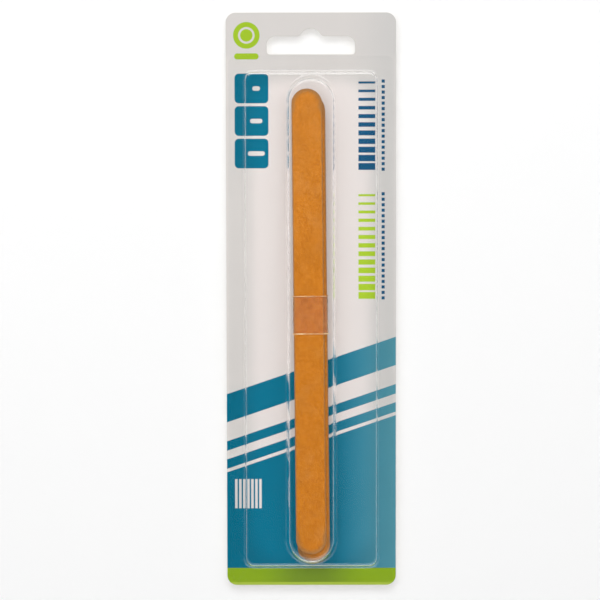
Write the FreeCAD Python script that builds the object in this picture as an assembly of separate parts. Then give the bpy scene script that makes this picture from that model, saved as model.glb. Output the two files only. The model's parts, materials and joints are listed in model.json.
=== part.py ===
import FreeCAD, Part

import math
import os

from FreeCAD import Vector

# Hang pack of seven double-sided emery boards, in millimetres.
#
# The pack is drawn lying on its back: X across it, Y up it, Z out of its printed face,
# with Z zero on that face. hang_up() then stands every piece upright, printed face to -Y.
# The origin is the middle of the hang slot's top edge, where the shop peg carries the pack.

# Printed card
card_width = 65.0
card_height = 220.0
card_thickness = 0.45
card_corner_radius = 3.8

# Hang slot: two round-ended arms with a bell-shaped rise between them
slot_below_edge = 6.0
slot_width = 33.8
slot_height = 9.9
slot_bell_height = 3.0
slot_bell_radius = 4.2
slot_bell_slope = 50.0
slot_blend_radius = 2.0
slot_upper_radius = 3.2
slot_lower_radius = 1.3

# Clear formed sheet: a flat flange, a low tray step and the deep pocket of the boards.
# The pocket's round ends slope more than its sides.
sheet_thickness = 0.3
flange_width = 63.0
flange_corner_radius = 3.0
flange_below_slot = 0.55
flange_above_edge = 1.4
tray_width = 53.3
tray_length = 192.5
tray_height = 3.0
tray_corner_radius = 4.5
tray_foot_radius = 1.2
tray_brow_radius = 1.5
tray_draft = 10.0
pocket_width = 22.1
pocket_length = 191.2
pocket_foot_radius = 0.9
pocket_brow_radius = 1.5
pocket_draft = 13.5
pocket_end_draft = 20.5

# Emery boards: a cardboard core between two abrasive papers, die-cut with full-round ends
board_count = 7
board_length = 178.0
board_width = 11.7
core_thickness = 0.6
coarse_paper_thickness = 0.17
fine_paper_thickness = 0.13
board_gap = 0.05

# How the boards lie in the pocket, from the card outwards. Places across the pocket are
# shares of the side play, and the leans are in degrees, top towards -X.
seat_clearance = 0.3
side_place_shares = (0.03, -0.08, 0.07, -0.04, 0.11, 0.14, -0.38)
board_leans = (0.48, 0.55, 0.45, 0.58, 0.50, 0.60, 0.52)
front_board_lift = 2.15

# Film band round the boards, welded in a lap behind them
film_thickness = 0.12
film_clearance = 0.2
film_height = 14.7
film_lap_width = 5.0
film_below_flange = 91.3

# Past the faces that a cut goes through, and the slack for telling two places apart
cut_overrun = 1.0
place_slack = 0.001

# Worked out from the sizes above
card_top = slot_below_edge
card_bottom = card_top - card_height
flange_top = -slot_height - flange_below_slot
flange_bottom = card_bottom + flange_above_edge
flange_length = flange_top - flange_bottom
form_middle = (flange_top + flange_bottom) / 2
board_thickness = core_thickness + coarse_paper_thickness + fine_paper_thickness
board_pitch = board_thickness + board_gap
stack_height = board_count * board_pitch - board_gap
stack_floor = seat_clearance + 2 * film_thickness + film_clearance
pocket_height = stack_floor + stack_height + film_clearance + film_thickness + seat_clearance + sheet_thickness
board_end_radius = board_width / 2
board_reach = board_length / 2 - board_end_radius
pocket_end_radius = pocket_width / 2
pocket_reach = pocket_length / 2 - pocket_end_radius
pocket_end_lean = math.tan(math.radians(pocket_end_draft)) - math.tan(math.radians(pocket_draft))
stack_lean = sum(board_leans) / board_count
film_middle = flange_top - film_below_flange - film_height / 2


# Outlines and solids

def rounded_outline(corners):
    """Closed wire through the corners (x, y, radius), each rounded by its own arc."""
    cuts = []
    for index, (x, y, radius) in enumerate(corners):
        corner = Vector(x, y, 0)
        back = Vector(*corners[index - 1][:2], 0) - corner
        ahead = Vector(*corners[(index + 1) % len(corners)][:2], 0) - corner
        back.normalize()
        ahead.normalize()
        half_angle = back.getAngle(ahead) / 2
        tangent = radius / math.tan(half_angle)
        bisector = (back + ahead).normalize()
        crown = corner + bisector * (radius / math.sin(half_angle) - radius)
        cuts.append((corner + back * tangent, crown, corner + ahead * tangent))
    edges = []
    for index, (start, crown, end) in enumerate(cuts):
        edges.append(Part.Arc(start, crown, end).toShape())
        following = cuts[(index + 1) % len(cuts)][0]
        if end.distanceToPoint(following) > place_slack:
            edges.append(Part.makeLine(end, following))
    return Part.Wire(edges)


def rounded_rectangle(width, length, middle, radius):
    """Outline of a rectangle with round corners, centred on X zero and Y middle."""
    right = width / 2
    low = middle - length / 2
    high = middle + length / 2
    places = ((right, low), (right, high), (-right, high), (-right, low))
    return rounded_outline([(x, y, radius) for x, y in places])


def plate(outline, low, thickness):
    """Flat plate with the outline, from the height low upwards."""
    solid = Part.Face(outline).extrude(Vector(0, 0, thickness))
    solid.translate(Vector(0, 0, low))
    return solid


def one_solid(shape):
    """The shape without seams between its faces, as a single solid."""
    return shape.removeSplitter().Solids[0]


# Printed card

def slot_outline():
    """Hang slot: flat bottom, round-ended arms, and the bell whose crown is the origin."""
    slope = math.radians(slot_bell_slope)
    peak = slot_bell_radius / math.cos(slope) - slot_bell_radius
    shoulder = (peak + slot_bell_height) / math.tan(slope)
    half = slot_width / 2
    right_side = [
        (half, -slot_height, slot_lower_radius),
        (half, -slot_bell_height, slot_upper_radius),
        (shoulder, -slot_bell_height, slot_blend_radius),
    ]
    left_side = [(-x, y, radius) for x, y, radius in reversed(right_side)]
    return rounded_outline(right_side + [(0, peak, slot_bell_radius)] + left_side)


def make_card():
    """Backing card with round corners, pierced by the hang slot."""
    outline = rounded_rectangle(card_width, card_height, (card_top + card_bottom) / 2, card_corner_radius)
    card = plate(outline, -card_thickness, card_thickness)
    slot = plate(slot_outline(), -card_thickness - cut_overrun, card_thickness + 2 * cut_overrun)
    return card.cut(slot)


# Clear formed sheet

class Wall:
    """Section of a drawn wall: a hollow foot arc, a drafted flank and a round brow arc."""

    def __init__(self, low, high, foot_radius, brow_radius, draft):
        self.low = low
        self.high = high
        self.foot = foot_radius
        self.brow = brow_radius
        self.slope = math.radians(90 - draft)
        arcs = foot_radius + brow_radius
        self.flank_rise = high - low - arcs * (1 - math.cos(self.slope))
        self.run = arcs * math.sin(self.slope) + self.flank_rise / math.tan(self.slope)

    def section(self, reach, floor, inset):
        """Half section from the axis out to the reach. The inset gives the sheet's inner side."""
        foot_middle = Vector(reach, 0, self.low + self.foot)
        brow_middle = Vector(reach - self.run, 0, self.high - self.brow)
        foot = self._arc(foot_middle, self.foot + inset, -math.pi / 2, -math.pi / 2 - self.slope)
        brow = self._arc(brow_middle, self.brow - inset, math.pi / 2 - self.slope, math.pi / 2)
        base = Vector(0, 0, floor)
        edge = Vector(reach, 0, floor)
        top = Vector(0, 0, self.high - inset)
        return Part.Face(Part.Wire([
            Part.makeLine(base, edge),
            Part.makeLine(edge, foot.StartPoint),
            foot.toShape(),
            Part.makeLine(foot.EndPoint, brow.StartPoint),
            brow.toShape(),
            Part.makeLine(brow.EndPoint, top),
            Part.makeLine(top, base),
        ]))

    def inner_run(self, height):
        """How far the sheet's inner side stands in from the foot's outline at a height."""
        brow_low = self.high - self.brow
        inner_brow = self.brow - sheet_thickness
        brow_start = brow_low + inner_brow * math.cos(self.slope)
        if height > brow_start:
            return self.run - math.sqrt(inner_brow ** 2 - (height - brow_low) ** 2)
        return self.run - inner_brow * math.sin(self.slope) - (brow_start - height) / math.tan(self.slope)

    @staticmethod
    def _arc(middle, radius, start, end):
        """Arc in the section's plane through its two end angles."""
        places = [middle + Vector(math.cos(angle), 0, math.sin(angle)) * radius
                  for angle in (start, (start + end) / 2, end)]
        return Part.Arc(*places)


def drawn_form(wall, width, length, corner_radius, floor, inset):
    """Solid under a drawn wall: turned corners joined by straight sides."""
    across = width / 2 - corner_radius
    along = length / 2 - corner_radius
    button = wall.section(corner_radius, floor, inset).revolve(Vector(), Vector(0, 0, 1), 360)
    pieces = []
    for x in (-across, across):
        for y in (-along, along):
            pieces.append(button.translated(Vector(x, y, 0)))
    pieces += side_pair(wall.section(width / 2, floor, inset), along, 0)
    pieces += side_pair(wall.section(length / 2, floor, inset), across, 90)
    return pieces[0].multiFuse(pieces[1:]).removeSplitter()


def side_pair(section, half_run, turn):
    """Two straight sides, back to back, with the run's half length each way."""
    side = section.translated(Vector(0, -half_run, 0)).extrude(Vector(0, 2 * half_run, 0))
    return [side.rotated(Vector(), Vector(0, 0, 1), turn + half_turn) for half_turn in (0, 180)]


tray_wall = Wall(sheet_thickness, tray_height, tray_foot_radius, tray_brow_radius, tray_draft)
pocket_wall = Wall(sheet_thickness, pocket_height, pocket_foot_radius, pocket_brow_radius, pocket_draft)


def pocket_reach_at(height):
    """From the pocket's middle to the middle of its round end, which leans in as it rises."""
    return pocket_reach - pocket_end_lean * (height - pocket_wall.low)


def pocket_form(floor, inset):
    """Solid under the pocket's wall: straight sides between two round ends that lean in."""
    section = pocket_wall.section(pocket_end_radius, floor, inset)
    lean = FreeCAD.Matrix()
    lean.A23 = -pocket_end_lean
    lean.A24 = pocket_reach_at(0)
    upper_end = section.revolve(Vector(), Vector(0, 0, 1), 180).transformGeometry(lean)
    lower_end = upper_end.rotated(Vector(), Vector(0, 0, 1), 180)
    corners = []
    for side, height in ((-1, floor), (1, floor), (1, pocket_height), (-1, pocket_height)):
        corners.append(Vector(0, side * pocket_reach_at(height), height))
    between = Part.Face(Part.makePolygon(corners + corners[:1])).extrude(Vector(2 * pocket_width, 0, 0))
    right, left = side_pair(section, pocket_reach_at(floor), 0)
    middle = right.fuse(left).common(between.translated(Vector(-pocket_width, 0, 0)))
    return middle.multiFuse([upper_end, lower_end]).removeSplitter()


def sheet_envelope(floor, inset):
    """Tray and pocket in one, with a hollow arc where the pocket rises from the tray."""
    tray = drawn_form(tray_wall, tray_width, tray_length, tray_corner_radius, floor, inset)
    pocket = pocket_form(floor, inset)
    both = tray.fuse(pocket).removeSplitter()
    level = tray_height - inset
    junction = []
    for edge in both.Edges:
        box = edge.BoundBox
        is_level = box.ZMin > level - place_slack and box.ZMax < level + place_slack
        if is_level and max(box.XMax, -box.XMin) < pocket_end_radius:
            junction.append(edge)
    return both.makeFillet(pocket_foot_radius + inset, junction)


def make_blister():
    """Clear sheet of even thickness: flange, tray step and pocket, open to the card."""
    outline = rounded_rectangle(flange_width, flange_length, 0, flange_corner_radius)
    flange = plate(outline, 0, sheet_thickness)
    outside = sheet_envelope(0, 0)
    inside = sheet_envelope(-cut_overrun, sheet_thickness)
    sheet = one_solid(flange.fuse(outside).cut(inside))
    return sheet.translated(Vector(0, form_middle, 0))


# Emery boards

class Board:
    """One board's place in the pocket, counted from the card outwards."""

    def __init__(self, index):
        self.low = stack_floor + index * board_pitch
        self.high = self.low + board_thickness
        self.lean = board_leans[index]
        self.play = pocket_end_radius - pocket_wall.inner_run(self.high) - board_end_radius - seat_clearance
        self.x = side_place_shares[index] * self.play
        self.y = form_middle + self.lowest_middle() + self.lift(index)

    def lowest_middle(self):
        """Middle of the board, from the pocket's, when its lower end has reached the pocket's end."""
        end_x = self.x + board_reach * math.sin(math.radians(self.lean))
        end_drop = math.sqrt(self.play ** 2 - end_x ** 2)
        return board_reach * math.cos(math.radians(self.lean)) - pocket_reach_at(self.high) - end_drop

    @staticmethod
    def lift(index):
        """The front board is gripped by the film a little above the others."""
        return front_board_lift if index == board_count - 1 else 0

    def x_at(self, height):
        """Middle of the board at a height up the pack."""
        return self.x - (height - self.y) * math.tan(math.radians(self.lean))

    def layer(self, low, thickness):
        """One layer of the board, laid at its place."""
        outline = rounded_rectangle(board_width, board_length, 0, board_end_radius)
        solid = plate(outline, low, thickness)
        solid.rotate(Vector(), Vector(0, 0, 1), self.lean)
        return solid.translated(Vector(self.x, self.y, 0))

    def layers(self):
        """Coarse paper to the back, core, fine paper to the front."""
        core_low = self.low + coarse_paper_thickness
        return {
            "coarse_paper": self.layer(self.low, coarse_paper_thickness),
            "core": self.layer(core_low, core_thickness),
            "fine_paper": self.layer(core_low + core_thickness, fine_paper_thickness),
        }


boards = [Board(index) for index in range(board_count)]


# Film band

def convex_hull(places):
    """Corners of the tightest closed loop round the places, turning left."""
    def half(ordered):
        chain = []
        for place in ordered:
            while len(chain) > 1 and turn(chain[-2], chain[-1], place) <= 0:
                chain.pop()
            chain.append(place)
        return chain[:-1]

    def turn(first, second, third):
        return ((second[0] - first[0]) * (third[1] - first[1])
                - (second[1] - first[1]) * (third[0] - first[0]))

    ordered = sorted(places)
    return half(ordered) + half(ordered[::-1])


def stack_hull():
    """Cross-section of the stack where the film goes round it, as a wire across the pack."""
    places = []
    for board in boards:
        middle = board.x_at(film_middle)
        for side in (-board_end_radius, board_end_radius):
            places += [(middle + side, board.low), (middle + side, board.high)]
    corners = [Vector(x, 0, z) for x, z in convex_hull(places)]
    return Part.makePolygon(corners + corners[:1])


def make_film_band():
    """Film drawn round the stack, with its welded lap behind."""
    hull = stack_hull()
    inner = hull.makeOffset2D(film_clearance)
    outer = hull.makeOffset2D(film_clearance + film_thickness)
    loop = Part.Face(outer).cut(Part.Face(inner))
    band = loop.extrude(Vector(0, film_height, 0)).translated(Vector(0, film_middle - film_height / 2, 0))
    back = stack_floor - film_clearance - film_thickness
    weld_x = boards[0].x_at(film_middle)
    lap = Part.makeBox(film_lap_width, film_height, film_thickness)
    lap.translate(Vector(weld_x - film_lap_width / 2, film_middle - film_height / 2, back - film_thickness))
    band = one_solid(band.fuse(lap))
    band.rotate(Vector(weld_x, film_middle, 0), Vector(0, 0, 1), stack_lean)
    return band


# The pack

def hang_up(shape):
    """Stand a piece upright: up the pack becomes +Z, out of the card becomes -Y."""
    upright = shape.rotated(Vector(), Vector(1, 0, 0), 90)
    return upright.translated(Vector(0, -card_thickness, 0))


def make_pack():
    """Every piece of the pack by name."""
    pieces = {"card": make_card(), "blister": make_blister(), "film_band": make_film_band()}
    for number, board in enumerate(reversed(boards), start=1):
        for layer, solid in board.layers().items():
            pieces[f"board_{number}_{layer}"] = solid
    return pieces


os.makedirs("parts", exist_ok=True)
for name, piece in make_pack().items():
    hang_up(piece).exportStep(f"parts/{name}.step")
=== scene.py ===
"""Looks of a hang pack of emery boards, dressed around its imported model.

The printed card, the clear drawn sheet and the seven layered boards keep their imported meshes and
get procedural finishes. The film band round the boards is modelled again as a finer, creased film.
All lengths are in metres, in the pack's frame: X across it, -Y out of its printed face, Z up.
"""
from __future__ import annotations

import json
import logging
import math
from collections.abc import Callable
from dataclasses import asdict, dataclass, replace
from enum import Enum
from functools import cached_property

import bpy
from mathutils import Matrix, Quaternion, Vector, noise


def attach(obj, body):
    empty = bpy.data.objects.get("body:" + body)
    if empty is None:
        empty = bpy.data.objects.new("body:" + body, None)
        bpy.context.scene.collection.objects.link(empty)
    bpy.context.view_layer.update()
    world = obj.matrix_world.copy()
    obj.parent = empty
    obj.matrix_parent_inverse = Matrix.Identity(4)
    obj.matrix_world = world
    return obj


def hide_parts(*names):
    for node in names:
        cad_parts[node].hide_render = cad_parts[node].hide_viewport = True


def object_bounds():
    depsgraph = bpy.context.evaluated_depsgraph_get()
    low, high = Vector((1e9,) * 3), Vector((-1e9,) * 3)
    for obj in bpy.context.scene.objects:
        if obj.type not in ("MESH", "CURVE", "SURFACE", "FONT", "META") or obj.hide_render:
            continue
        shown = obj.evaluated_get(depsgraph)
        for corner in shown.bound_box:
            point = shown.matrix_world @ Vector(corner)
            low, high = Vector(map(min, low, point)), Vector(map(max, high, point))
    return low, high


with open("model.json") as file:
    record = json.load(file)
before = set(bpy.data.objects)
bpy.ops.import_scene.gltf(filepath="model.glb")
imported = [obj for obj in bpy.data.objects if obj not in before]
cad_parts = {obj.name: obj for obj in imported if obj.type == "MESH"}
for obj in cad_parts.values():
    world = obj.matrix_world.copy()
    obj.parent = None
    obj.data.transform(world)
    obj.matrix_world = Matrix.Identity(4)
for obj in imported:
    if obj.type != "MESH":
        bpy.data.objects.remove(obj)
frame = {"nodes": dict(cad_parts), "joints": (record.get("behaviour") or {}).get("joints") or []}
cad_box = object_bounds()

log = logging.getLogger("emery_board_pack")

MM = 0.001
PRINT_SOFTNESS = 0.12 * MM
Socket = bpy.types.NodeSocket
Colour = tuple[float, float, float, float]
Triple = tuple[float, float, float]
Span = tuple[float, float]


def ink(red: int, green: int, blue: int) -> Colour:
    """Gives the linear colour of a screen colour.

    Args:
        red: Red from 0 to 255.
        green: Green from 0 to 255.
        blue: Blue from 0 to 255.

    Returns:
        Linear red, green and blue, and an alpha of one.
    """
    toe, slope, offset, power = 0.04045, 12.92, 0.055, 2.4

    def linear(level: int) -> float:
        """Linear share of one screen level."""
        share = level / 255
        return share / slope if share <= toe else ((share + offset) / (1 + offset)) ** power

    return (linear(red), linear(green), linear(blue), 1.0)


class Graph:
    """Wires one node tree with short calls."""

    def __init__(self, tree: bpy.types.NodeTree) -> None:
        """Keeps the tree to wire."""
        self.tree = tree

    def feed(self, socket: Socket, value: object) -> None:
        """Links a socket to an input, or sets a plain value on it.

        Args:
            socket: The input to feed.
            value: The socket to link, or the plain value.
        """
        if isinstance(value, bpy.types.NodeSocket):
            self.tree.links.new(value, socket)
        else:
            socket.default_value = value

    def node(self, kind: str, inputs: dict[str | int, object] | None = None,
             **options: object) -> bpy.types.Node:
        """Adds a node.

        Args:
            kind: Blender's name of the node type.
            inputs: Values or sockets by input name or number, or None to leave an input as it is.
            **options: The node's own settings.

        Returns:
            The new node.
        """
        made = self.tree.nodes.new(kind)
        for option, value in options.items():
            setattr(made, option, value)
        for key, value in (inputs or {}).items():
            if value is not None:
                self.feed(made.inputs[key], value)
        return made

    def math(self, operation: str, *values: object, clamp: bool = False) -> Socket:
        """Result of a Math node on up to three values."""
        made = self.node("ShaderNodeMath", dict(enumerate(values)), operation=operation, use_clamp=clamp)
        return made.outputs[0]

    def vector(self, operation: str, *values: object) -> Socket:
        """Vector result of a Vector Math node."""
        made = self.node("ShaderNodeVectorMath", dict(enumerate(values)), operation=operation)
        return made.outputs["Vector"]

    def dot(self, first: object, second: object) -> Socket:
        """Dot product of two vectors."""
        made = self.node("ShaderNodeVectorMath", {0: first, 1: second}, operation="DOT_PRODUCT")
        return made.outputs["Value"]

    def scaled(self, vector: object, factor: object) -> Socket:
        """A vector or colour times a factor."""
        made = self.node("ShaderNodeVectorMath", {0: vector, "Scale": factor}, operation="SCALE")
        return made.outputs["Vector"]

    def mix(self, factor: object, first: object, second: object) -> Socket:
        """Colour between two colours, by a factor from zero to one."""
        made = self.node("ShaderNodeMix", {0: factor, 6: first, 7: second}, data_type="RGBA")
        return made.outputs[2]

    def between(self, factor: object, first: object, second: object) -> Socket:
        """Value between two values, by a factor from zero to one."""
        made = self.node("ShaderNodeMix", {0: factor, 2: first, 3: second}, data_type="FLOAT")
        return made.outputs[0]

    def ramp(self, value: object, low: object, high: object, start: object = 0.0,
             end: object = 1.0) -> Socket:
        """Value mapped smoothly from the span low to high onto the span start to end."""
        inputs = dict(enumerate((value, low, high, start, end)))
        return self.node("ShaderNodeMapRange", inputs, interpolation_type="SMOOTHSTEP").outputs[0]

    def split(self, place: object) -> tuple[Socket, Socket, Socket]:
        """The three parts of a vector."""
        return tuple(self.node("ShaderNodeSeparateXYZ", {0: place}).outputs)

    def noise(self, place: object, scale: object, detail: float = 3.0, rough: float = 0.55) -> Socket:
        """Noise factor at a place, with the scale in waves per metre."""
        inputs = {"Vector": place, "Scale": scale, "Detail": detail, "Roughness": rough}
        return self.node("ShaderNodeTexNoise", inputs).outputs[0]

    def group(self, tree: bpy.types.NodeTree, **inputs: object) -> bpy.types.Node:
        """Adds a node group.

        Args:
            tree: The group's tree.
            **inputs: Values or sockets by input name, in lower case with underscores.

        Returns:
            The new node.
        """
        made = self.node("ShaderNodeGroup", node_tree=tree)
        for name, value in inputs.items():
            self.feed(made.inputs[name.replace("_", " ").title()], value)
        return made


class Kind(Enum):
    """Socket kinds of a shared effect."""

    VALUE = "NodeSocketFloat"
    PLACE = "NodeSocketVector"
    COLOUR = "NodeSocketColor"


class Effect:
    """A shader node group that several finishes share, built once on first use."""

    def __init__(self, name: str, inputs: dict[str, Kind], outputs: dict[str, Kind],
                 wire: Callable[[Graph, dict[str, Socket]], dict[str, Socket]]) -> None:
        """Keeps what the group needs.

        Args:
            name: Name of the group.
            inputs: Kind of each input by name.
            outputs: Kind of each output by name.
            wire: Wires the inside and returns the socket of each output.
        """
        self.name = name
        self.inputs = inputs
        self.outputs = outputs
        self.wire = wire

    @cached_property
    def tree(self) -> bpy.types.NodeTree:
        """The group's node tree with its sockets, wired on first use.

        Returns:
            The wired tree.
        """
        tree = bpy.data.node_groups.new(self.name, "ShaderNodeTree")
        for name, kind in self.inputs.items():
            tree.interface.new_socket(name, in_out="INPUT", socket_type=kind.value)
        for name, kind in self.outputs.items():
            tree.interface.new_socket(name, in_out="OUTPUT", socket_type=kind.value)
        graph = Graph(tree)
        entry = tree.nodes.new("NodeGroupInput")
        made = self.wire(graph, {name: entry.outputs[name] for name in self.inputs})
        leaving = tree.nodes.new("NodeGroupOutput")
        for name, socket in made.items():
            graph.feed(leaving.inputs[name], socket)
        return tree


def wire_block(graph: Graph, given: dict[str, Socket]) -> dict[str, Socket]:
    """Mask of a rectangle with round corners.

    Args:
        graph: The group's wiring.
        given: Socket of each input by name.

    Returns:
        The mask.
    """
    beyond = []
    for place, middle, half in (("Across", "Middle Across", "Half Width"),
                                ("Up", "Middle Up", "Half Height")):
        gap = graph.math("ABSOLUTE", graph.math("SUBTRACT", given[place], given[middle]))
        flat = graph.math("SUBTRACT", given[half], given["Corner"])
        beyond.append(graph.math("SUBTRACT", gap, flat))
    outside = [graph.math("MAXIMUM", gap, 0.0) for gap in beyond]
    squares = [graph.math("MULTIPLY", gap, gap) for gap in outside]
    round_gap = graph.math("SQRT", graph.math("ADD", *squares))
    inner = graph.math("MINIMUM", graph.math("MAXIMUM", *beyond), 0.0)
    distance = graph.math("SUBTRACT", graph.math("ADD", round_gap, inner), given["Corner"])
    return {"Mask": graph.ramp(distance, given["Softness"], 0.0)}


def wire_bars(graph: Graph, given: dict[str, Socket]) -> dict[str, Socket]:
    """Mask of a ladder of bars, counted from its start and growing from first to last.

    Args:
        graph: The group's wiring.
        given: Socket of each input by name.

    Returns:
        The mask.
    """
    step = graph.math("DIVIDE", graph.math("SUBTRACT", given["Start"], given["Along"]), given["Pitch"])
    number = graph.math("FLOOR", step)
    share = graph.math("DIVIDE", number, graph.math("SUBTRACT", given["Count"], 1.0), clamp=True)
    growth = graph.math("SUBTRACT", given["Last Half"], given["First Half"])
    half = graph.math("MULTIPLY_ADD", growth, share, given["First Half"])
    centred = graph.math("ABSOLUTE", graph.math("SUBTRACT", graph.math("FRACT", step), 0.5))
    thick_gap = graph.math("SUBTRACT", graph.math("MULTIPLY", centred, given["Pitch"]), half)
    beside = graph.math("ABSOLUTE", graph.math("SUBTRACT", given["Beside"], given["Middle"]))
    long_gap = graph.math("SUBTRACT", beside, given["Half Length"])
    bar = graph.ramp(graph.math("MAXIMUM", thick_gap, long_gap), given["Softness"], 0.0)
    after = graph.math("GREATER_THAN", number, -0.5)
    before = graph.math("LESS_THAN", number, graph.math("SUBTRACT", given["Count"], 0.5))
    return {"Mask": graph.math("MULTIPLY", bar, graph.math("MULTIPLY", after, before))}


def wire_rim(graph: Graph, given: dict[str, Socket]) -> dict[str, Socket]:
    """Mask along the rim of a round-ended board: its middle line, its half width and the rim's reach.

    Args:
        graph: The group's wiring.
        given: Socket of each input by name.

    Returns:
        The mask.
    """
    straight_half, whole_half = 0.47, 0.5
    line = graph.vector("SUBTRACT", given["High"], given["Low"])
    beside = graph.vector("SUBTRACT", given["Place"], given["Low"])
    share = graph.math("DIVIDE", graph.dot(beside, line), graph.dot(line, line), clamp=True)
    gap = graph.vector("SUBTRACT", beside, graph.scaled(line, share))
    distance = graph.math("SQRT", graph.dot(gap, gap))
    patch = graph.noise(given["Place"], graph.math("DIVIDE", 1.0, given["Reach"]), detail=2.0)
    from_middle = graph.math("ABSOLUTE", graph.math("SUBTRACT", share, whole_half))
    plain = graph.ramp(from_middle, straight_half, whole_half, given["Reach"], given["End Reach"])
    reach = graph.math("MULTIPLY", plain, graph.math("ADD", patch, 0.5))
    inner = graph.math("SUBTRACT", given["Half Width"], reach)
    return {"Mask": graph.ramp(distance, inner, given["Half Width"])}


def wire_mottle(graph: Graph, given: dict[str, Socket]) -> dict[str, Socket]:
    """Slow change of tone about one, as uneven ink, glue or light gives.

    Args:
        graph: The group's wiring.
        given: Socket of each input by name.

    Returns:
        The changed colour.
    """
    scale = graph.math("DIVIDE", 1.0, given["Size"])
    wave = graph.noise(given["Place"], scale, detail=4.0)
    swing = graph.math("MULTIPLY", graph.math("SUBTRACT", wave, 0.5), given["Amount"])
    tone = graph.math("ADD", swing, 1.0)
    return {"Colour": graph.scaled(given["Colour"], tone)}


def wire_grit(graph: Graph, given: dict[str, Socket]) -> dict[str, Socket]:
    """Abrasive grains: a tone for each, the glue between them, and their height.

    Args:
        graph: The group's wiring.
        given: Socket of each input by name.

    Returns:
        The grains' tone and height.
    """
    clump_scale, clump_swing = 0.3, 1.2
    foot, crown = 0.7, 0.05
    least_height = 0.3
    scale = graph.math("DIVIDE", 1.0, given["Grain"])
    grain = graph.node("ShaderNodeTexVoronoi", {"Vector": given["Place"], "Scale": scale, "Randomness": 1.0})
    tone = graph.split(grain.outputs["Color"])[0]
    clump = graph.noise(given["Place"], graph.math("MULTIPLY", scale, clump_scale), detail=2.0)
    mixed = graph.math("MULTIPLY_ADD", graph.math("SUBTRACT", clump, 0.5), clump_swing, tone)
    height = graph.ramp(grain.outputs["Distance"], foot, crown)
    tall = graph.math("MULTIPLY", height, graph.math("MULTIPLY_ADD", tone, 1 - least_height, least_height))
    return {"Tone": mixed, "Height": tall}


def wire_fibre(graph: Graph, given: dict[str, Socket]) -> dict[str, Socket]:
    """Pressed paper fibres that run across the given stretch.

    Args:
        graph: The group's wiring.
        given: Socket of each input by name.

    Returns:
        The fibres' tone and flecks.
    """
    fleck_scale, fleck_start, fleck_full = 2.3, 0.66, 0.74
    scale = graph.math("DIVIDE", 1.0, given["Length"])
    stretched = graph.vector("MULTIPLY", given["Place"], given["Stretch"])
    fibre = graph.noise(stretched, scale, detail=5.0, rough=0.65)
    fleck = graph.noise(given["Place"], graph.math("MULTIPLY", scale, fleck_scale), detail=1.0)
    return {"Tone": fibre, "Fleck": graph.ramp(fleck, fleck_start, fleck_full)}


def wire_edge(graph: Graph, given: dict[str, Socket]) -> dict[str, Socket]:
    """Worn edges: a normal rounded over the radius, and a mask that is one on the edges.

    Args:
        graph: The group's wiring.
        given: Socket of each input by name.

    Returns:
        The mask and the normal.
    """
    flat, worn = 0.995, 0.8
    rounded = graph.node("ShaderNodeBevel", {"Radius": given["Radius"]}, samples=6).outputs[0]
    plain = graph.node("ShaderNodeNewGeometry").outputs["Normal"]
    return {"Mask": graph.ramp(graph.dot(rounded, plain), flat, worn), "Normal": rounded}


def wire_ripple(graph: Graph, given: dict[str, Socket]) -> dict[str, Socket]:
    """Slow ripples of drawn plastic, with fine scuffs on its surface.

    Args:
        graph: The group's wiring.
        given: Socket of each input by name.

    Returns:
        The ripples' height and the scuffs.
    """
    scuff_scale, scuff_start, scuff_full = 14.0, 0.52, 0.8
    scale = graph.math("DIVIDE", 1.0, given["Size"])
    stretched = graph.vector("MULTIPLY", given["Place"], given["Stretch"])
    wave = graph.noise(stretched, scale, detail=1.5, rough=0.4)
    scuff = graph.noise(stretched, graph.math("MULTIPLY", scale, scuff_scale), detail=4.0, rough=0.7)
    return {"Height": wave, "Scuff": graph.ramp(scuff, scuff_start, scuff_full)}


VALUE, PLACE, COLOUR = Kind.VALUE, Kind.PLACE, Kind.COLOUR
print_block = Effect("print_block", {name: VALUE for name in (
    "Across", "Up", "Middle Across", "Middle Up", "Half Width", "Half Height", "Corner", "Softness")},
    {"Mask": VALUE}, wire_block)
bar_ladder = Effect("bar_ladder", {name: VALUE for name in (
    "Along", "Beside", "Start", "Pitch", "Count", "First Half", "Last Half", "Middle", "Half Length",
    "Softness")}, {"Mask": VALUE}, wire_bars)
board_rim = Effect("board_rim", {"Place": PLACE, "Low": PLACE, "High": PLACE, "Half Width": VALUE,
                                 "Reach": VALUE, "End Reach": VALUE}, {"Mask": VALUE}, wire_rim)
mottle = Effect("mottle", {"Colour": COLOUR, "Place": PLACE, "Size": VALUE, "Amount": VALUE},
                {"Colour": COLOUR}, wire_mottle)
grit = Effect("grit", {"Place": PLACE, "Grain": VALUE}, {"Tone": VALUE, "Height": VALUE}, wire_grit)
fibre = Effect("fibre", {"Place": PLACE, "Stretch": PLACE, "Length": VALUE},
               {"Tone": VALUE, "Fleck": VALUE}, wire_fibre)
worn_edge = Effect("worn_edge", {"Radius": VALUE}, {"Mask": VALUE, "Normal": PLACE}, wire_edge)
ripple = Effect("ripple", {"Place": PLACE, "Stretch": PLACE, "Size": VALUE},
                {"Height": VALUE, "Scuff": VALUE}, wire_ripple)


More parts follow.
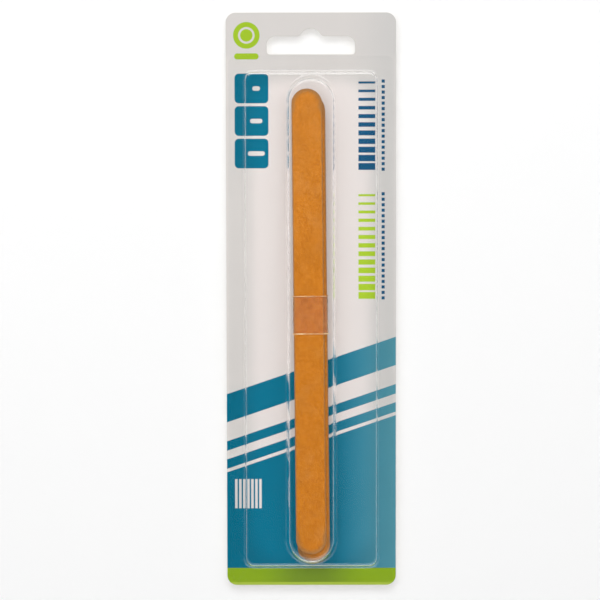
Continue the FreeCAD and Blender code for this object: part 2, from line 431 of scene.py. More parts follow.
class Finish:
    """A surface finish that becomes one material."""

    name: str

    def wire(self, graph: Graph) -> Socket:
        """Wires the finish and returns its shader."""
        raise NotImplementedError

    def material(self) -> bpy.types.Material:
        """The finish as a Blender material, made anew.

        Returns:
            A material with its own node tree.
        """
        made = bpy.data.materials.new(self.name)
        made.use_nodes = True
        made.node_tree.nodes.clear()
        graph = Graph(made.node_tree)
        graph.node("ShaderNodeOutputMaterial", {"Surface": self.wire(graph)})
        return made

    @staticmethod
    def place(graph: Graph) -> Socket:
        """Place on the piece in the pack's frame, which moves with the piece."""
        return graph.node("ShaderNodeTexCoord").outputs["Object"]

    @staticmethod
    def mottled(graph: Graph, colour: object, place: Socket, size: float, amount: float) -> Socket:
        """Colour with a slow change of tone of the given size and amount."""
        return graph.group(mottle.tree, colour=colour, place=place, size=size, amount=amount).outputs[0]

    @staticmethod
    def bump(graph: Graph, height: Socket, depth: float, normal: Socket | None = None) -> Socket:
        """Normal of a surface with the given relief.

        Args:
            graph: The material's wiring.
            height: Relief from zero to one.
            depth: Depth of that relief in metres.
            normal: Normal to start from.

        Returns:
            The changed normal.
        """
        inputs = {"Height": height, "Distance": depth, "Strength": 1.0, "Normal": normal}
        return graph.node("ShaderNodeBump", inputs).outputs[0]

    @staticmethod
    def surface(graph: Graph, colour: Socket, rough: Socket, gloss: float,
                normal: Socket | None = None) -> Socket:
        """Shader of an opaque surface.

        Args:
            graph: The material's wiring.
            colour: The surface's colour.
            rough: Its roughness.
            gloss: How strongly it mirrors.
            normal: Its normal, where it has relief.

        Returns:
            The shader.
        """
        inputs = {"Base Color": colour, "Roughness": rough, "Specular IOR Level": gloss, "Normal": normal}
        return graph.node("ShaderNodeBsdfPrincipled", inputs).outputs[0]


@dataclass(frozen=True)
class Block:
    """A printed block: its middle, half sizes and corner radius, and the width of its soft edge."""

    middle_across: float
    middle_up: float
    half_width: float
    half_height: float
    corner: float = 0.0
    softness: float = PRINT_SOFTNESS


@dataclass(frozen=True)
class Bars:
    """A printed row of bars.

    It has a start, a pitch and a count along it, the half thickness of its first and last bar, the
    middle and half length of the bars across it, and the width of their soft edge.
    """

    start: float
    pitch: float
    count: float
    first_half: float
    last_half: float
    middle: float
    half_length: float
    softness: float = PRINT_SOFTNESS


@dataclass(frozen=True)
class PrintLayout:
    """Generic print on the card, with painted light and shade over it: places from the slot's crown, sizes in
    metres, spans from start to full.
    """

    # Painted shade: from here to the right edge the paper turns darker.
    shade_start: float = 12 * MM
    # Painted reflection: span over which the teal turns paler to the right, as the sheet's reflected haze.
    blend: Span = (5 * MM, 36 * MM)
    field_middle: float = -129 * MM
    field_climb: float = 0.34
    stripe_drops: Triple = (14.5 * MM, 23.5 * MM, 29.5 * MM)
    stripe_halves: Triple = (3.6 * MM, 1.6 * MM, 0.6 * MM)
    foot_top: float = -207.4 * MM
    foot_half: float = 12 * MM
    foot_blend: Span = (22 * MM, 4 * MM)
    hem_height: float = 1.1 * MM
    disc_middle: Span = (-24.6 * MM, -2.6 * MM)
    disc_radii: Triple = (5.0 * MM, 3.1 * MM, 2.3 * MM)
    pill: Block = Block(-24.6 * MM, -10.6 * MM, 4.6 * MM, 1.1 * MM, 1.1 * MM)
    tile_across: float = -22.7 * MM
    tile_half: float = 6.4 * MM
    tile_top: float = -17.2 * MM
    tile_pitch: float = 12.4 * MM
    tile_half_height: float = 5.6 * MM
    tile_corner: float = 1.6 * MM
    tile_line_across: float = -20.9 * MM
    tile_line_half: float = 0.8 * MM
    tile_line_shares: Triple = (0.22, 0.36, 0.5)
    blue_ladder: Bars = Bars(-19 * MM, 3.2 * MM, 11, 0.35 * MM, 1.25 * MM, 21.4 * MM, 3.2 * MM)
    lime_ladder: Bars = Bars(-62 * MM, 3.2 * MM, 13, 0.35 * MM, 1.25 * MM, 21.4 * MM, 3.2 * MM)
    rule_pitch: float = 2.1 * MM
    rule_half: float = 0.55 * MM
    rule_across: float = 27.6 * MM
    count_bars: Bars = Bars(-18.875 * MM, 1.55 * MM, 7, 0.42 * MM, 0.42 * MM, -178.5 * MM, 5.6 * MM)
    # Painted light: the card round the pocket is painted brighter, as light that the sheet and the boards
    # throw onto it.
    glow: Block = Block(0, -112 * MM, 19 * MM, 88 * MM, 8 * MM, 8 * MM)
    glow_tone: Triple = (1.26, 1.22, 1.23)
    # Painted shade: the bare top of the card, above the sheet, is painted darker.
    head: Span = (-13 * MM, -9 * MM)
    head_tone: Triple = (0.94, 0.945, 0.95)


@dataclass(frozen=True)
class PrintedCard(Finish):
    """Coated card: printed and varnished in front, plain behind, grey board at its edges."""

    name: str = "printed_card"
    layout: PrintLayout = PrintLayout()
    paper: Colour = ink(221, 216, 212)
    # Painted shade: paper colour at the right edge.
    shaded_paper: Colour = ink(211, 208, 205)
    teal: Colour = ink(0, 111, 139)
    pale_teal: Colour = ink(83, 148, 164)
    lime: Colour = ink(166, 200, 48)
    foot_lime: Colour = ink(142, 175, 34)
    leaf: Colour = ink(121, 150, 44)
    hem: Colour = ink(170, 192, 70)
    blue: Colour = ink(22, 84, 122)
    back_paper: Colour = ink(214, 209, 200)
    board: Colour = ink(196, 188, 176)
    gloss: float = 0.06
    rough: float = 0.82
    varnish: float = 0.42
    pulp_stretch: Triple = (0.35, 1.0, 1.0)
    pulp_length: float = 0.9 * MM
    pulp_relief: float = 0.012 * MM
    pulp_rough: float = 0.1
    fleck_share: float = 0.35
    ply_stretch: Triple = (1.0, 22.0, 1.0)
    ply_length: float = 1.6 * MM
    ply_share: float = 0.6
    front_mottling: Span = (26 * MM, 0.05)
    back_mottling: Span = (14 * MM, 0.08)
    edge_radius: float = 0.12 * MM
    edge_share: float = 0.45

    def wire(self, graph: Graph) -> Socket:
        """Prints the front and leaves the back and the edges plain.

        Args:
            graph: The material's wiring.

        Returns:
            The shader.
        """
        place = self.place(graph)
        side = graph.split(graph.node("ShaderNodeTexCoord").outputs["Normal"])[1]
        front = graph.math("LESS_THAN", side, -0.5)
        back = graph.math("GREATER_THAN", side, 0.5)
        pulp = graph.group(fibre.tree, place=place, stretch=self.pulp_stretch, length=self.pulp_length)
        coated = self.mottled(graph, self.printed(graph, place), place, *self.front_mottling)
        flecks = graph.math("MULTIPLY", pulp.outputs["Fleck"], self.fleck_share)
        flecked = graph.mix(flecks, self.back_paper, self.board)
        toned = self.mottled(graph, flecked, place, *self.back_mottling)
        plies = graph.group(fibre.tree, place=place, stretch=self.ply_stretch, length=self.ply_length)
        cut = graph.mix(graph.math("MULTIPLY", plies.outputs["Tone"], self.ply_share), self.paper, self.board)
        colour = graph.mix(front, graph.mix(back, cut, toned), coated)
        worn = graph.group(worn_edge.tree, radius=self.edge_radius)
        colour = graph.mix(graph.math("MULTIPLY", worn.outputs["Mask"], self.edge_share), colour, self.paper)
        matt = graph.math("MULTIPLY_ADD", front, -self.varnish, self.rough)
        rough = graph.math("MULTIPLY_ADD", pulp.outputs["Tone"], self.pulp_rough, matt)
        normal = self.bump(graph, pulp.outputs["Tone"], self.pulp_relief, worn.outputs["Normal"])
        return self.surface(graph, colour, rough, self.gloss, normal)

    def printed(self, graph: Graph, place: Socket) -> Socket:
        """Lays each ink of the layout on the paper, then paints light and shade over the print.

        Args:
            graph: The material's wiring.
            place: Place on the card.

        Returns:
            The colour of the printed face.
        """
        layout = self.layout
        across, _, up = graph.split(place)
        slanted_up = graph.math("MULTIPLY_ADD", across, -layout.field_climb, up)
        beyond_card = cad_box[1].x * 2

        def block(shape: Block, level: Socket = up) -> Socket:
            """Mask of a block, straight or on a slanted height."""
            return graph.group(print_block.tree, across=across, up=level, **asdict(shape)).outputs[0]

        def band(middle_up: float, half_height: float) -> Socket:
            """Mask of a band along the field's slanted top edge."""
            return block(Block(0.0, middle_up, beyond_card, half_height), slanted_up)

        def row(bars: Bars, along: Socket, beside: Socket) -> Socket:
            """Mask of a row of bars."""
            return graph.group(bar_ladder.tree, along=along, beside=beside, **asdict(bars)).outputs[0]

        # Painted shade: the paper darkens towards the right edge.
        shade = graph.ramp(across, layout.shade_start, cad_box[1].x)
        paper = graph.mix(shade, self.paper, self.shaded_paper)
        # Painted reflection: the teal turns paler to the right, as the haze of the sheet's reflection.
        teal = graph.mix(graph.ramp(across, *layout.blend), self.teal, self.pale_teal)
        inward = graph.ramp(graph.math("ABSOLUTE", across), *layout.foot_blend)
        green = graph.mix(inward, self.foot_lime, self.leaf)
        field_half = (layout.field_middle - cad_box[0].z) * 2
        foot = Block(0.0, layout.foot_top - layout.foot_half, beyond_card, layout.foot_half)
        hem = Block(0.0, cad_box[0].z, beyond_card, layout.hem_height)
        coats = [(band(layout.field_middle - field_half, field_half), teal)]
        coats += [(band(layout.field_middle - drop, half), paper)
                  for drop, half in zip(layout.stripe_drops, layout.stripe_halves)]
        coats += [(block(foot), green), (block(hem), self.hem)]
        coats += [(block(Block(*layout.disc_middle, radius, radius, radius)), coat)
                  for radius, coat in zip(layout.disc_radii, (self.lime, self.paper, self.lime))]
        coats.append((block(layout.pill), self.lime))
        for number, share in enumerate(layout.tile_line_shares):
            middle = layout.tile_top - layout.tile_half_height - number * layout.tile_pitch
            tile = Block(layout.tile_across, middle, layout.tile_half, layout.tile_half_height,
                         layout.tile_corner)
            line = Block(layout.tile_line_across, middle, layout.tile_half * share, layout.tile_line_half,
                         layout.tile_line_half)
            coats += [(block(tile), self.teal), (block(line), paper)]
        for ladder, coat in ((layout.blue_ladder, self.blue), (layout.lime_ladder, self.lime)):
            rule = Bars(ladder.start, layout.rule_pitch, ladder.count * ladder.pitch / layout.rule_pitch,
                        layout.rule_half, layout.rule_half, layout.rule_across, layout.rule_half)
            coats += [(row(ladder, up, across), coat), (row(rule, up, across), self.blue)]
        coats.append((row(layout.count_bars, across, up), paper))
        colour = paper
        for mask, coat in coats:
            colour = graph.mix(mask, colour, coat)
        # Painted light: the print round the pocket is brightened.
        painted_lit_colour = graph.vector("MULTIPLY", colour, layout.glow_tone)
        colour = graph.mix(block(layout.glow), colour, painted_lit_colour)
        # Painted shade: the bare top of the card is darkened.
        toned = graph.vector("MULTIPLY", colour, layout.head_tone)
        return graph.mix(graph.ramp(up, *layout.head), colour, toned)


@dataclass(frozen=True)
class GritPaper(Finish):
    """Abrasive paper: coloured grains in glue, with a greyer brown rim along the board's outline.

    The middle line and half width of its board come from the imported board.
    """

    name: str = "grit_paper"
    body: Colour = ink(216, 129, 25)
    dark: Colour = ink(190, 103, 15)
    light: Colour = ink(231, 149, 54)
    edge: Colour = ink(164, 120, 74)
    dusty: Colour = ink(229, 157, 82)
    light_span: Span = (0.68, 1.05)
    dark_span: Span = (0.38, -0.05)
    dark_share: float = 0.9
    dust: float = 0.22
    dust_size: float = 7 * MM
    dust_span: Span = (0.48, 0.7)
    fade: float = 0.12
    fade_span: Span = (-100 * MM, -25 * MM)
    mottling: Span = (9 * MM, 0.28)
    grain: float = 0.3 * MM
    relief: float = 0.06 * MM
    rough: float = 0.78
    polish: float = 0.12
    gloss: float = 0.12
    low: Vector = Vector()
    high: Vector = Vector((0, 0, 1))
    half_width: float = 1.0
    edge_radius: float = 0.2 * MM
    rim_share: float = 0.85
    rim_reach: float = 0.9 * MM
    end_reach: float = 2.4 * MM

    def wire(self, graph: Graph) -> Socket:
        """Scatters light and dark grains over the glue, then dust, a faded end and the greyer brown rim.

        Args:
            graph: The material's wiring.

        Returns:
            The shader.
        """
        place = self.place(graph)
        grains = graph.group(grit.tree, place=place, grain=self.grain)
        tone = grains.outputs["Tone"]
        colour = graph.mix(graph.ramp(tone, *self.light_span), self.body, self.light)
        deep = graph.math("MULTIPLY", graph.ramp(tone, *self.dark_span), self.dark_share)
        colour = graph.mix(deep, colour, self.dark)
        dust = graph.ramp(graph.noise(place, 1 / self.dust_size), *self.dust_span)
        faded = graph.ramp(graph.split(place)[2], *self.fade_span, 0.0, self.fade)
        colour = graph.mix(graph.math("MULTIPLY_ADD", dust, self.dust, faded), colour, self.dusty)
        rim = graph.group(board_rim.tree, place=place, low=self.low, high=self.high,
                          half_width=self.half_width, reach=self.rim_reach, end_reach=self.end_reach)
        colour = graph.mix(graph.math("MULTIPLY", rim.outputs["Mask"], self.rim_share), colour, self.edge)
        worn = graph.group(worn_edge.tree, radius=self.edge_radius)
        normal = self.bump(graph, grains.outputs["Height"], self.relief, worn.outputs["Normal"])
        rough = graph.math("MULTIPLY_ADD", tone, -self.polish, self.rough)
        toned = self.mottled(graph, colour, place, *self.mottling)
        return self.surface(graph, toned, rough, self.gloss, normal)


@dataclass(frozen=True)
class PressedBoard(Finish):
    """Core of a board: layers of grey-brown pressed paper, streaked darker and paler."""

    name: str = "pressed_board"
    pulp: Colour = ink(172, 132, 88)
    dark: Colour = ink(120, 84, 52)
    pulp_span: Span = (0.35, 0.68)
    layer: float = 0.5 * MM
    layer_stretch: Triple = (0.6, 9.0, 0.6)
    mottling: Span = (6 * MM, 0.14)
    relief: float = 0.05 * MM
    rough: float = 0.82
    fibre_rough: float = 0.1
    gloss: float = 0.3

    def wire(self, graph: Graph) -> Socket:
        """Lays the paper's layers along the board's faces.

        Args:
            graph: The material's wiring.

        Returns:
            The shader.
        """
        place = self.place(graph)
        layers = graph.group(fibre.tree, place=place, stretch=self.layer_stretch, length=self.layer)
        tone = layers.outputs["Tone"]
        colour = graph.mix(graph.ramp(tone, *self.pulp_span), self.dark, self.pulp)
        normal = self.bump(graph, tone, self.relief)
        rough = graph.math("MULTIPLY_ADD", tone, self.fibre_rough, self.rough)
        toned = self.mottled(graph, colour, place, *self.mottling)
        return self.surface(graph, toned, rough, self.gloss, normal)


@dataclass(frozen=True)
class ClearPlastic(Finish):
    """Clear plastic that bends light for the eye and lets lamps through unbent."""

    name: str = "clear_plastic"
    tint: Colour = ink(252, 253, 253)
    shade: Colour = (1.0, 1.0, 1.0, 1.0)
    smooth: float = 0.12
    scuffed: float = 0.2
    bend: float = 1.45
    clearness: float = 1.0
    unevenness: float = 0.02
    ripple_size: float = 22 * MM
    ripple_stretch: Triple = (1.0, 1.0, 0.5)
    ripple_depth: float = 0.006 * MM

    def wire(self, graph: Graph) -> Socket:
        """Ripples and scuffs the plastic.

        Args:
            graph: The material's wiring.

        Returns:
            The shader.
        """
        place = self.place(graph)
        waves = graph.group(ripple.tree, place=place, stretch=self.ripple_stretch, size=self.ripple_size)
        span = self.scuffed - self.smooth
        rough = graph.math("MULTIPLY_ADD", waves.outputs["Scuff"], span, self.smooth)
        # The tint swings in patches; on the amber film its paler patches are painted sheen.
        tint = self.mottled(graph, self.tint, place, self.ripple_size, self.unevenness)
        normal = self.bump(graph, waves.outputs["Height"], self.ripple_depth)
        plastic = graph.node("ShaderNodeBsdfPrincipled", {
            "Base Color": tint, "Roughness": rough, "Normal": normal, "IOR": self.bend,
            "Transmission Weight": self.clearness, "Metallic": 0.0})
        clear = graph.node("ShaderNodeBsdfTransparent", {"Color": self.shade})
        path = graph.node("ShaderNodeLightPath")
        shader = plastic
        for ray in ("Is Reflection Ray", "Is Shadow Ray"):
            shader = graph.node("ShaderNodeMixShader", {
                0: path.outputs[ray], 1: shader.outputs[0], 2: clear.outputs[0]})
        return shader.outputs[0]


@dataclass(frozen=True)
class CutFilm(Finish):
    """Cut and gathered edge of the film, painted pale in patches as a highlight along it."""

    name: str = "cut_film"
    # Painted highlight: the pale colour stands for the light that the film's cut edge catches.
    pale: Colour = ink(255, 222, 168)
    warm: Colour = ink(226, 158, 92)
    patch: float = 3.5 * MM
    pale_span: Span = (0.62, 0.4)
    rough: float = 0.3
    patch_rough: float = 0.2
    gloss: float = 0.4

    def wire(self, graph: Graph) -> Socket:
        """Paints the edge's highlight in patches.

        Args:
            graph: The material's wiring.

        Returns:
            The shader.
        """
        patch = graph.noise(self.place(graph), 1 / self.patch, detail=2.0)
        colour = graph.mix(graph.ramp(patch, *self.pale_span), self.warm, self.pale)
        rough = graph.math("MULTIPLY_ADD", patch, self.patch_rough, self.rough)
        return self.surface(graph, colour, rough, self.gloss)


@dataclass(frozen=True)
class PaleStage(Finish):
    """Pale stage that the camera sees as white, apart from the object's shadow."""

    name: str = "pale_stage"
    tone: Colour = (0.88, 0.88, 0.88, 1.0)
    lift: float = 0.12
    one_sided: bool = False

    def wire(self, graph: Graph) -> Socket:
        """Adds the lift for sight alone, and opens a one-sided stage to everything else.

        Args:
            graph: The material's wiring.

        Returns:
            The shader.
        """
        path = graph.node("ShaderNodeLightPath")
        through = graph.math("MAXIMUM", path.outputs["Is Glossy Ray"], path.outputs["Is Transmission Ray"])
        seen = graph.math("MAXIMUM", path.outputs["Is Camera Ray"], through)
        diffuse = graph.node("ShaderNodeBsdfDiffuse", {"Color": self.tone})
        glow = graph.node("ShaderNodeEmission", {"Strength": graph.math("MULTIPLY", seen, self.lift)})
        both = graph.node("ShaderNodeAddShader", {0: diffuse.outputs[0], 1: glow.outputs[0]}).outputs[0]
        if not self.one_sided:
            return both
        behind = graph.node("ShaderNodeNewGeometry").outputs["Backfacing"]
        shown = graph.math("MULTIPLY", seen, graph.math("SUBTRACT", 1.0, behind))
        clear = graph.node("ShaderNodeBsdfTransparent")
        return graph.node("ShaderNodeMixShader", {0: shown, 1: clear.outputs[0], 2: both}).outputs[0]


def dress(piece: bpy.types.Object, material: bpy.types.Material) -> None:
    """Puts one material on every slot of a piece.

    Args:
        piece: The piece to dress.
        material: Its material.
    """
    if not piece.material_slots:
        piece.data.materials.append(material)
    for slot in piece.material_slots:
        slot.material = material


def mesh_piece(name: str, places: list[Triple], faces: list[tuple[int, ...]]) -> bpy.types.Object:
    """Makes a mesh object and links it to the scene.

    Args:
        name: Name of the piece.
        places: The vertices, in the pack's frame.
        faces: Vertex numbers of each face.

    Returns:
        The new object.
    """
    mesh = bpy.data.meshes.new(name)
    mesh.from_pydata(places, [], faces)
    mesh.update()
    piece = bpy.data.objects.new(name, mesh)
    bpy.context.scene.collection.objects.link(piece)
    return piece


def closed_ring(name: str, rows: list[list[Vector]]) -> bpy.types.Object:
    """Makes a closed ring: each row is a loop round it, and the last row joins the first.

    Args:
        name: Name of the piece.
        rows: Places of each row, up the outer side and down the inner one.

    Returns:
        The new object.
    """
    count = len(rows[0])
    faces = []
    for row in range(len(rows)):
        start, above = row * count, (row + 1) % len(rows) * count
        for index in range(count):
            following = (index + 1) % count
            faces.append((start + index, start + following, above + following, above + index))
    return mesh_piece(name, [tuple(place) for row in rows for place in row], faces)


class Layer(Enum):
    """Layers of a board, from its back to its front."""

    COARSE_PAPER = "coarse_paper"
    CORE = "core"
    FINE_PAPER = "fine_paper"


@dataclass
class HangCard:
    """The printed card with its hang slot."""

    node: str = "card"
    finish: PrintedCard = PrintedCard()

    def build(self) -> None:
        """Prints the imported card."""
        dress(frame["nodes"][self.node], self.finish.material())
        log.info("%s: printed", self.node)


@dataclass
class DrawnSheet:
    """The clear sheet with its flange, tray step and pocket."""

    node: str = "blister"
    finish: ClearPlastic = ClearPlastic(name="clear_sheet")

    def build(self) -> None:
        """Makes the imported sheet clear."""
        dress(frame["nodes"][self.node], self.finish.material())
        log.info("%s: clear", self.node)


@dataclass
class BoardStack:
    """Seven boards of three layers each."""

    count: int = 7
    upright_ratio: float = 20
    coarse: GritPaper = GritPaper(
        name="coarse_grit", body=ink(150, 84, 34), dark=ink(92, 50, 22), light=ink(190, 128, 70),
        edge=ink(168, 120, 78), dusty=ink(190, 146, 104), grain=0.46 * MM, relief=0.12 * MM, rough=0.84)
    core: PressedBoard = PressedBoard()
    fine: GritPaper = GritPaper(name="fine_grit")

    def build(self) -> None:
        """Dresses the three layers of each board, the papers with the board's own rim."""
        core = self.core.material()
        for number in range(1, self.count + 1):
            outline = self.outline(frame["nodes"][f"board_{number}_{Layer.CORE.value}"])
            materials = {
                Layer.COARSE_PAPER: replace(self.coarse, **outline).material(),
                Layer.CORE: core,
                Layer.FINE_PAPER: replace(self.fine, **outline).material(),
            }
            for layer, material in materials.items():
                dress(frame["nodes"][f"board_{number}_{layer.value}"], material)
            log.info("board_%d: dressed", number)

    def outline(self, board: bpy.types.Object) -> dict[str, object]:
        """Middle line and half width of a round-ended board.

        Args:
            board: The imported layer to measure.

        Returns:
            The centres of its two round ends and its half width, by the names that a paper gives them.
        """
        places = [vertex.co for vertex in board.data.vertices]
        sides = [places[edge.vertices[1]] - places[edge.vertices[0]] for edge in board.data.edges]
        upright = [side for side in sides if abs(side.x) < abs(side.z) / self.upright_ratio]
        along = max(upright, key=lambda side: side.length).normalized()
        along *= math.copysign(1, along.z)
        across = along.cross(Vector((0, 1, 0))).normalized()
        spans = [[place.dot(way) for place in places] for way in (across, along)]
        half_width = (max(spans[0]) - min(spans[0])) / 2
        depth = sum(place.y for place in places) / len(places)
        start = across * (max(spans[0]) - half_width) + Vector((0, depth, 0))
        return {"low": start + along * (min(spans[1]) + half_width), "half_width": half_width,
                "high": start + along * (max(spans[1]) - half_width)}


@dataclass
class FilmBand:
    """The creased amber film round the boards, in place of the plain packed band."""

    node: str = "film_band"
    joint: str = "film_band_slide"
    thickness: float = 0.12 * MM
    step_round: float = 0.3 * MM
    step_up: float = 0.28 * MM
    crease_depth: float = 0.1 * MM
    crease_size: float = 2.6 * MM
    crease_power: int = 3
    crease_level: float = 0.5
    fine_scale: float = 3.1
    fine_share: float = 0.35
    lip_height: float = 0.15 * MM
    lip_reach: float = 0.2 * MM
    edge_wave: float = 0.12 * MM
    edge_wave_scale: float = 260
    edge_wave_turn: float = 9
    bead_heights: Span = (0.46 * MM, 0.24 * MM)
    bead_proud: float = 0.04 * MM
    bead: CutFilm = CutFilm()
    # The film's tint swings in wide patches, the paler of them brighter than clear film: painted sheen on its
    # creases.
    finish: ClearPlastic = ClearPlastic(
        name="amber_film", tint=ink(255, 241, 232), shade=ink(254, 251, 247), smooth=0.12, scuffed=0.3,
        bend=1.38, clearness=0.978, unevenness=0.9, ripple_size=1.8 * MM,
        ripple_stretch=(1.0, 1.0, 0.6), ripple_depth=0.14 * MM)

    def build(self) -> None:
        """Models the film, sets it on its body and makes it amber."""
        piece = self.model()
        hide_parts(self.node)
        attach(piece, self.node)
        dress(piece, self.finish.material())
        log.info("%s: %d faces of creased film", piece.name, len(piece.data.polygons))
        material = self.bead.material()
        for bead in self.beads():
            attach(bead, self.node)
            dress(bead, material)
            log.info("%s: %d faces of cut film", bead.name, len(bead.data.polygons))

    @cached_property
    def axes(self) -> tuple[Vector, Vector, Vector]:
        """Directions across, out of the face and along the stack.

        Returns:
            The three directions, each of length one.
        """
        slide = next(joint for joint in frame["joints"] if joint["name"] == self.joint)
        along, out = Vector(slide["axis"]).normalized(), Vector((0, -1, 0))
        return out.cross(along), out, along

    @cached_property
    def places(self) -> list[Triple]:
        """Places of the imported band, across, out and along."""
        vertices = frame["nodes"][self.node].data.vertices
        return [tuple(vertex.co.dot(axis) for axis in self.axes) for vertex in vertices]

    @cached_property
    def edges(self) -> Span:
        """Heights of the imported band's lower and upper edge."""
        heights = [height for _, _, height in self.places]
        return min(heights), max(heights)

    @cached_property
    def section(self) -> list[Span]:
        """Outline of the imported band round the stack, evenly stepped, without its lap.

        Returns:
            Places across and out, once round.
        """
        back = min(y for _, y, _ in self.places) + self.thickness
        return even_steps(hull([(x, max(y, back)) for x, y, _ in self.places]), self.step_round)

    def row(self, stands: list[float], heights: list[float]) -> list[Vector]:
        """One loop of places round the stack.

        Args:
            stands: How far each place stands out of the section.
            heights: Height of each along the stack.

        Returns:
            The places in the pack's frame.
        """
        across, out, along = self.axes
        row = []
        for index, (x, y) in enumerate(self.section):
            before, after = self.section[index - 1], self.section[(index + 1) % len(self.section)]
            outward = Vector((after[1] - before[1], before[0] - after[0])).normalized()
            spot = Vector((x, y)) + outward * stands[index]
            row.append(across * spot.x + out * spot.y + along * heights[index])
        return row

    def model(self) -> bpy.types.Object:
        """The film as one closed mesh of outer side, inner side and two cut edges.

        Returns:
            The film.
        """
        low, high = self.edges
        steps = round((high - low) / self.step_up)
        rows = []
        for depth, way in ((0.0, 1), (self.thickness, -1)):
            for step in range(steps + 1)[::way]:
                share = step / steps
                height = low + (high - low) * share
                from_edge = min(height - low, high - height)
                swing = (1 - from_edge / (high - low) * 2) * (1 if share > 0.5 else -1)
                levels = [height - self.wave(x, y, share) * swing for x, y in self.section]
                stands = [self.crease(x, y, height, from_edge) - depth for x, y in self.section]
                rows.append(self.row(stands, [min(max(level, low), high) for level in levels]))
        piece = closed_ring("creased_film_band", rows)
        piece.data.shade_smooth()
        return piece

    def beads(self) -> list[bpy.types.Object]:
        """The beads along the film's lower and upper cut edges.

        Returns:
            The two beads, each a closed ring.
        """
        low, high = self.edges
        lower, upper = self.bead_heights
        count = len(self.section)
        rings = []
        for name, span in (("film_band_lower_bead", (low, low + lower)),
                           ("film_band_upper_bead", (high - upper, high))):
            corners = [(self.bead_proud, height) for height in span]
            corners += [(-self.thickness, height) for height in reversed(span)]
            rows = [self.row([stand] * count, [height] * count) for stand, height in corners]
            rings.append(closed_ring(name, rows))
        return rings

    def wave(self, x: float, y: float, share: float) -> float:
        """How the film's edges wave at a place, for its share of the way from edge to edge."""
        spot = (x * self.edge_wave_scale, y * self.edge_wave_scale, share * self.edge_wave_turn)
        return noise.noise(Vector(spot)) * self.edge_wave

    def crease(self, x: float, y: float, height: float, from_edge: float) -> float:
        """How far the film stands out at a place, from its creases and raised lips.

        Args:
            x: Place across the stack.
            y: Place out of its face.
            height: Place along it.
            from_edge: Distance from the nearer cut edge.

        Returns:
            The distance in metres.
        """
        spot = Vector((x, y, height)) / self.crease_size
        ridge = max(1 - abs(noise.noise(spot)) * 2, 0) ** self.crease_power
        fine = noise.noise(spot * self.fine_scale) * self.fine_share
        lip = self.lip_height * math.exp(-(from_edge / self.lip_reach) ** 2)
        return (ridge + fine - self.crease_level) * self.crease_depth + lip


def hull(places: list[Span]) -> list[Span]:
    """Corners of the tightest closed loop round the places, turning left.

    Args:
        places: The places.

    Returns:
        The loop's corners.
    """
    def turn(first: Span, second: Span, third: Span) -> float:
        """Positive where the way through three places turns left."""
        return ((second[0] - first[0]) * (third[1] - first[1])
                - (second[1] - first[1]) * (third[0] - first[0]))

    def half(ordered: list[Span]) -> list[Span]:
        """One half of the loop.

        Args:
            ordered: The places from side to side.

        Returns:
            Its corners, without the last.
        """
        chain: list[Span] = []
        for place in ordered:
            while len(chain) > 1 and turn(chain[-2], chain[-1], place) <= 0:
                chain.pop()
            chain.append(place)
        return chain[:-1]

    ordered = sorted(set(places))
    return half(ordered) + half(ordered[::-1])


def even_steps(corners: list[Span], step: float) -> list[Span]:
    """Places along a closed loop, no further apart than the step.

    Args:
        corners: The loop's corners.
        step: Longest step between two places.

    Returns:
        The corners and the places between them.
    """
    places = []
    for index, (x, y) in enumerate(corners):
        next_x, next_y = corners[(index + 1) % len(corners)]
        parts = max(1, math.ceil(math.hypot(next_x - x, next_y - y) / step))
        for part in range(parts):
            share = part / parts
            places.append((x + (next_x - x) * share, y + (next_y - y) * share))
    return places


@dataclass
class Stage:
    """Pale floor under the hanging pack and a one-sided backdrop just behind it."""

    reach: float = 4.0
    floor_drop: float = 0.9
    backdrop_gap: float = 2.8 * MM
    floor: PaleStage = PaleStage(name="pale_floor")
    backdrop: PaleStage = PaleStage(name="pale_backdrop", one_sided=True)

    def build(self) -> None:
        """Lays the floor and stands the backdrop."""
        low = cad_box[0].z - self.floor_drop
        behind = cad_box[1].y + self.backdrop_gap
        r = self.reach
        floor = mesh_piece("floor", [(-r, -r, low), (r, -r, low), (r, r, low), (-r, r, low)], [(0, 1, 2, 3)])
        backdrop = mesh_piece("backdrop", [
            (-r, behind, low), (r, behind, low), (r, behind, r), (-r, behind, r)], [(0, 1, 2, 3)])
        dress(floor, self.floor.material())
        dress(backdrop, self.backdrop.material())
        log.info("stage: floor and backdrop")


class Use(Enum):
    """What a lamp is there for."""

    LIGHT = "light"
    GLOSS = "gloss"


@dataclass(frozen=True)
class Lamp:
    """One soft lamp: the way to it from the pack in degrees, its size in metres and its brightness.

    A lamp for light is as bright as its share of the light on the card, and one for gloss as it looks
    in a mirror.
    """

    name: str
    use: Use
    azimuth: float
    elevation: float
    width: float
    height: float
    level: float
    distance: float = 0.9

    def way(self) -> Vector:
        """Direction to the lamp.

        Returns:
            The direction, of length one.
        """
        turn, rise = math.radians(self.azimuth), math.radians(self.elevation)
        level = math.cos(rise)
        return Vector((math.sin(turn) * level, -math.cos(turn) * level, math.sin(rise)))

    def watts(self) -> float:
        """Power that gives the lamp its level.

        Returns:
            The power in watts.
        """
        if self.use is Use.GLOSS:
            return math.pi * self.width * self.height * self.level
        return (math.pi * self.distance) ** 2 * self.level / abs(self.way().y)


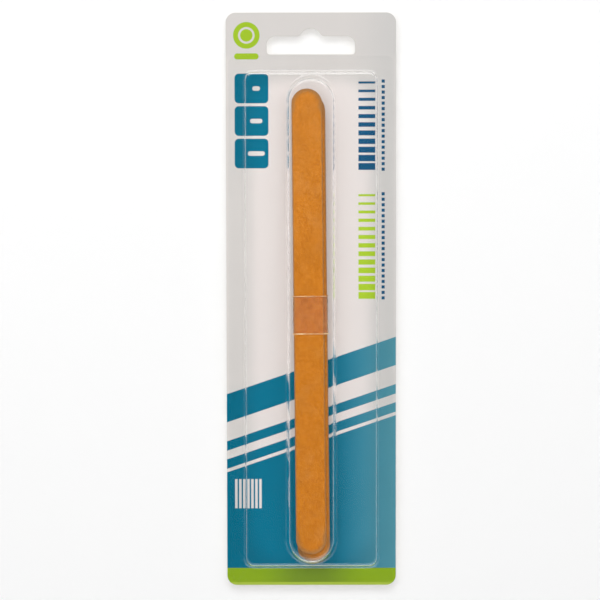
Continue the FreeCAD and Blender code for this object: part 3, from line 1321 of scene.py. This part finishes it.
@dataclass
class Studio:
    """Plain soft light: a dome, dark behind the camera to mirrors, and soft lamps on all sides."""

    dome: float = 0.4
    mirrored_dark: float = 0.03
    mirrored_bright: float = 0.22
    dark_until: float = 0.94
    bright_from: float = 0.55
    lamps: tuple[Lamp, ...] = (
        Lamp("key_lamp", Use.LIGHT, -4, 42, 0.8, 0.4, 0.31),
        Lamp("front_lamp", Use.LIGHT, 0, 4, 0.5, 0.5, 0.11),
        Lamp("left_lamp", Use.LIGHT, -42, 8, 0.5, 0.5, 0.1),
        Lamp("right_lamp", Use.LIGHT, 42, 8, 0.5, 0.5, 0.07),
        Lamp("low_lamp", Use.LIGHT, 0, -36, 0.6, 0.3, 0.06),
        Lamp("top_panel", Use.GLOSS, 0, 66, 1.3, 0.9, 2.5),
        Lamp("left_panel", Use.GLOSS, -70, 0, 0.7, 1.2, 0.2),
        Lamp("right_panel", Use.GLOSS, 70, 0, 0.6, 1.2, 0.22),
        Lamp("low_panel", Use.GLOSS, 0, -58, 1.2, 0.9, 1.2),
        Lamp("back_left_lamp", Use.LIGHT, -150, 20, 0.5, 0.5, 0.3),
        Lamp("back_right_lamp", Use.LIGHT, 150, 20, 0.5, 0.5, 0.3),
    )

    def build(self) -> None:
        """Lights the dome and hangs the lamps, all aimed at the pack."""
        self.light_dome()
        for lamp in self.lamps:
            self.hang(lamp)
        log.info("studio: dome and %d lamps", len(self.lamps))

    def light_dome(self) -> None:
        """Makes the dome: plain for diffuse light, white to the eye, darker in front to mirrors."""
        world = bpy.data.worlds.new("studio")
        bpy.context.scene.world = world
        world.use_nodes = True
        world.node_tree.nodes.clear()
        graph = Graph(world.node_tree)
        path = graph.node("ShaderNodeLightPath")
        toward = graph.split(graph.node("ShaderNodeTexCoord").outputs["Generated"])[1]
        front = graph.math("MULTIPLY", toward, -1.0)
        mirrored = graph.ramp(front, self.bright_from, self.dark_until, self.mirrored_bright,
                              self.mirrored_dark)
        gloss = graph.math("MAXIMUM", path.outputs["Is Glossy Ray"], path.outputs["Is Transmission Ray"])
        unseen = graph.between(gloss, self.dome, mirrored)
        strength = graph.between(path.outputs["Is Camera Ray"], unseen, 1.0)
        light = graph.node("ShaderNodeBackground", {"Color": (1, 1, 1, 1), "Strength": strength})
        graph.node("ShaderNodeOutputWorld", {"Surface": light.outputs[0]})

    def hang(self, lamp: Lamp) -> None:
        """Hangs one lamp, unseen but for its light and its reflections.

        Args:
            lamp: The lamp to hang.
        """
        middle = (cad_box[0] + cad_box[1]) / 2
        way = lamp.way()
        data = bpy.data.lights.new(lamp.name, "AREA")
        data.shape = "RECTANGLE"
        data.size = lamp.width
        data.size_y = lamp.height
        data.energy = lamp.watts()
        thing = bpy.data.objects.new(lamp.name, data)
        bpy.context.scene.collection.objects.link(thing)
        thing.location = middle + way * lamp.distance
        thing.rotation_mode = "QUATERNION"
        thing.rotation_quaternion = (-way).to_track_quat("-Z", "Y")
        thing.visible_camera = False
        thing.visible_transmission = False
        thing.visible_glossy = lamp.use is Use.GLOSS
        thing.visible_diffuse = lamp.use is Use.LIGHT


@dataclass
class PhotoCamera:
    """Camera where the photograph was taken from."""

    distance: float = 1.0
    elevation: float = math.radians(3.54)
    aim_across: float = -4.29 * MM
    aim_up: float = 0.23 * MM
    roll: float = math.radians(0.095)
    lens: float = 156.3
    sensor: float = 36.0

    def build(self) -> None:
        """Stands the camera before the pack."""
        data = bpy.data.cameras.new("photo_camera")
        data.sensor_width = self.sensor
        data.lens = self.lens
        camera = bpy.data.objects.new("photo_camera", data)
        bpy.context.scene.collection.objects.link(camera)
        middle = Vector((0.0, 0.0, (cad_box[0].z + cad_box[1].z) / 2))
        back = Vector((0, -math.cos(self.elevation), math.sin(self.elevation)))
        camera.location = middle + back * self.distance
        aim = middle + Vector((self.aim_across, 0, self.aim_up))
        camera.rotation_mode = "QUATERNION"
        look = (aim - camera.location).to_track_quat("-Z", "Y")
        camera.rotation_quaternion = look @ Quaternion((0, 0, 1), -self.roll)
        bpy.context.scene.camera = camera
        log.info("camera: %.2f m away", self.distance)


def main() -> None:
    """Builds the camera, then the sub-assemblies in order, the stage and the light."""
    logging.basicConfig(level=logging.INFO, format="%(name)s: %(message)s")
    bpy.context.scene.view_settings.view_transform = "Standard"
    for part in (PhotoCamera(), HangCard(), BoardStack(), FilmBand(), DrawnSheet(), Stage(), Studio()):
        part.build()


if __name__ == "__main__":
    main()
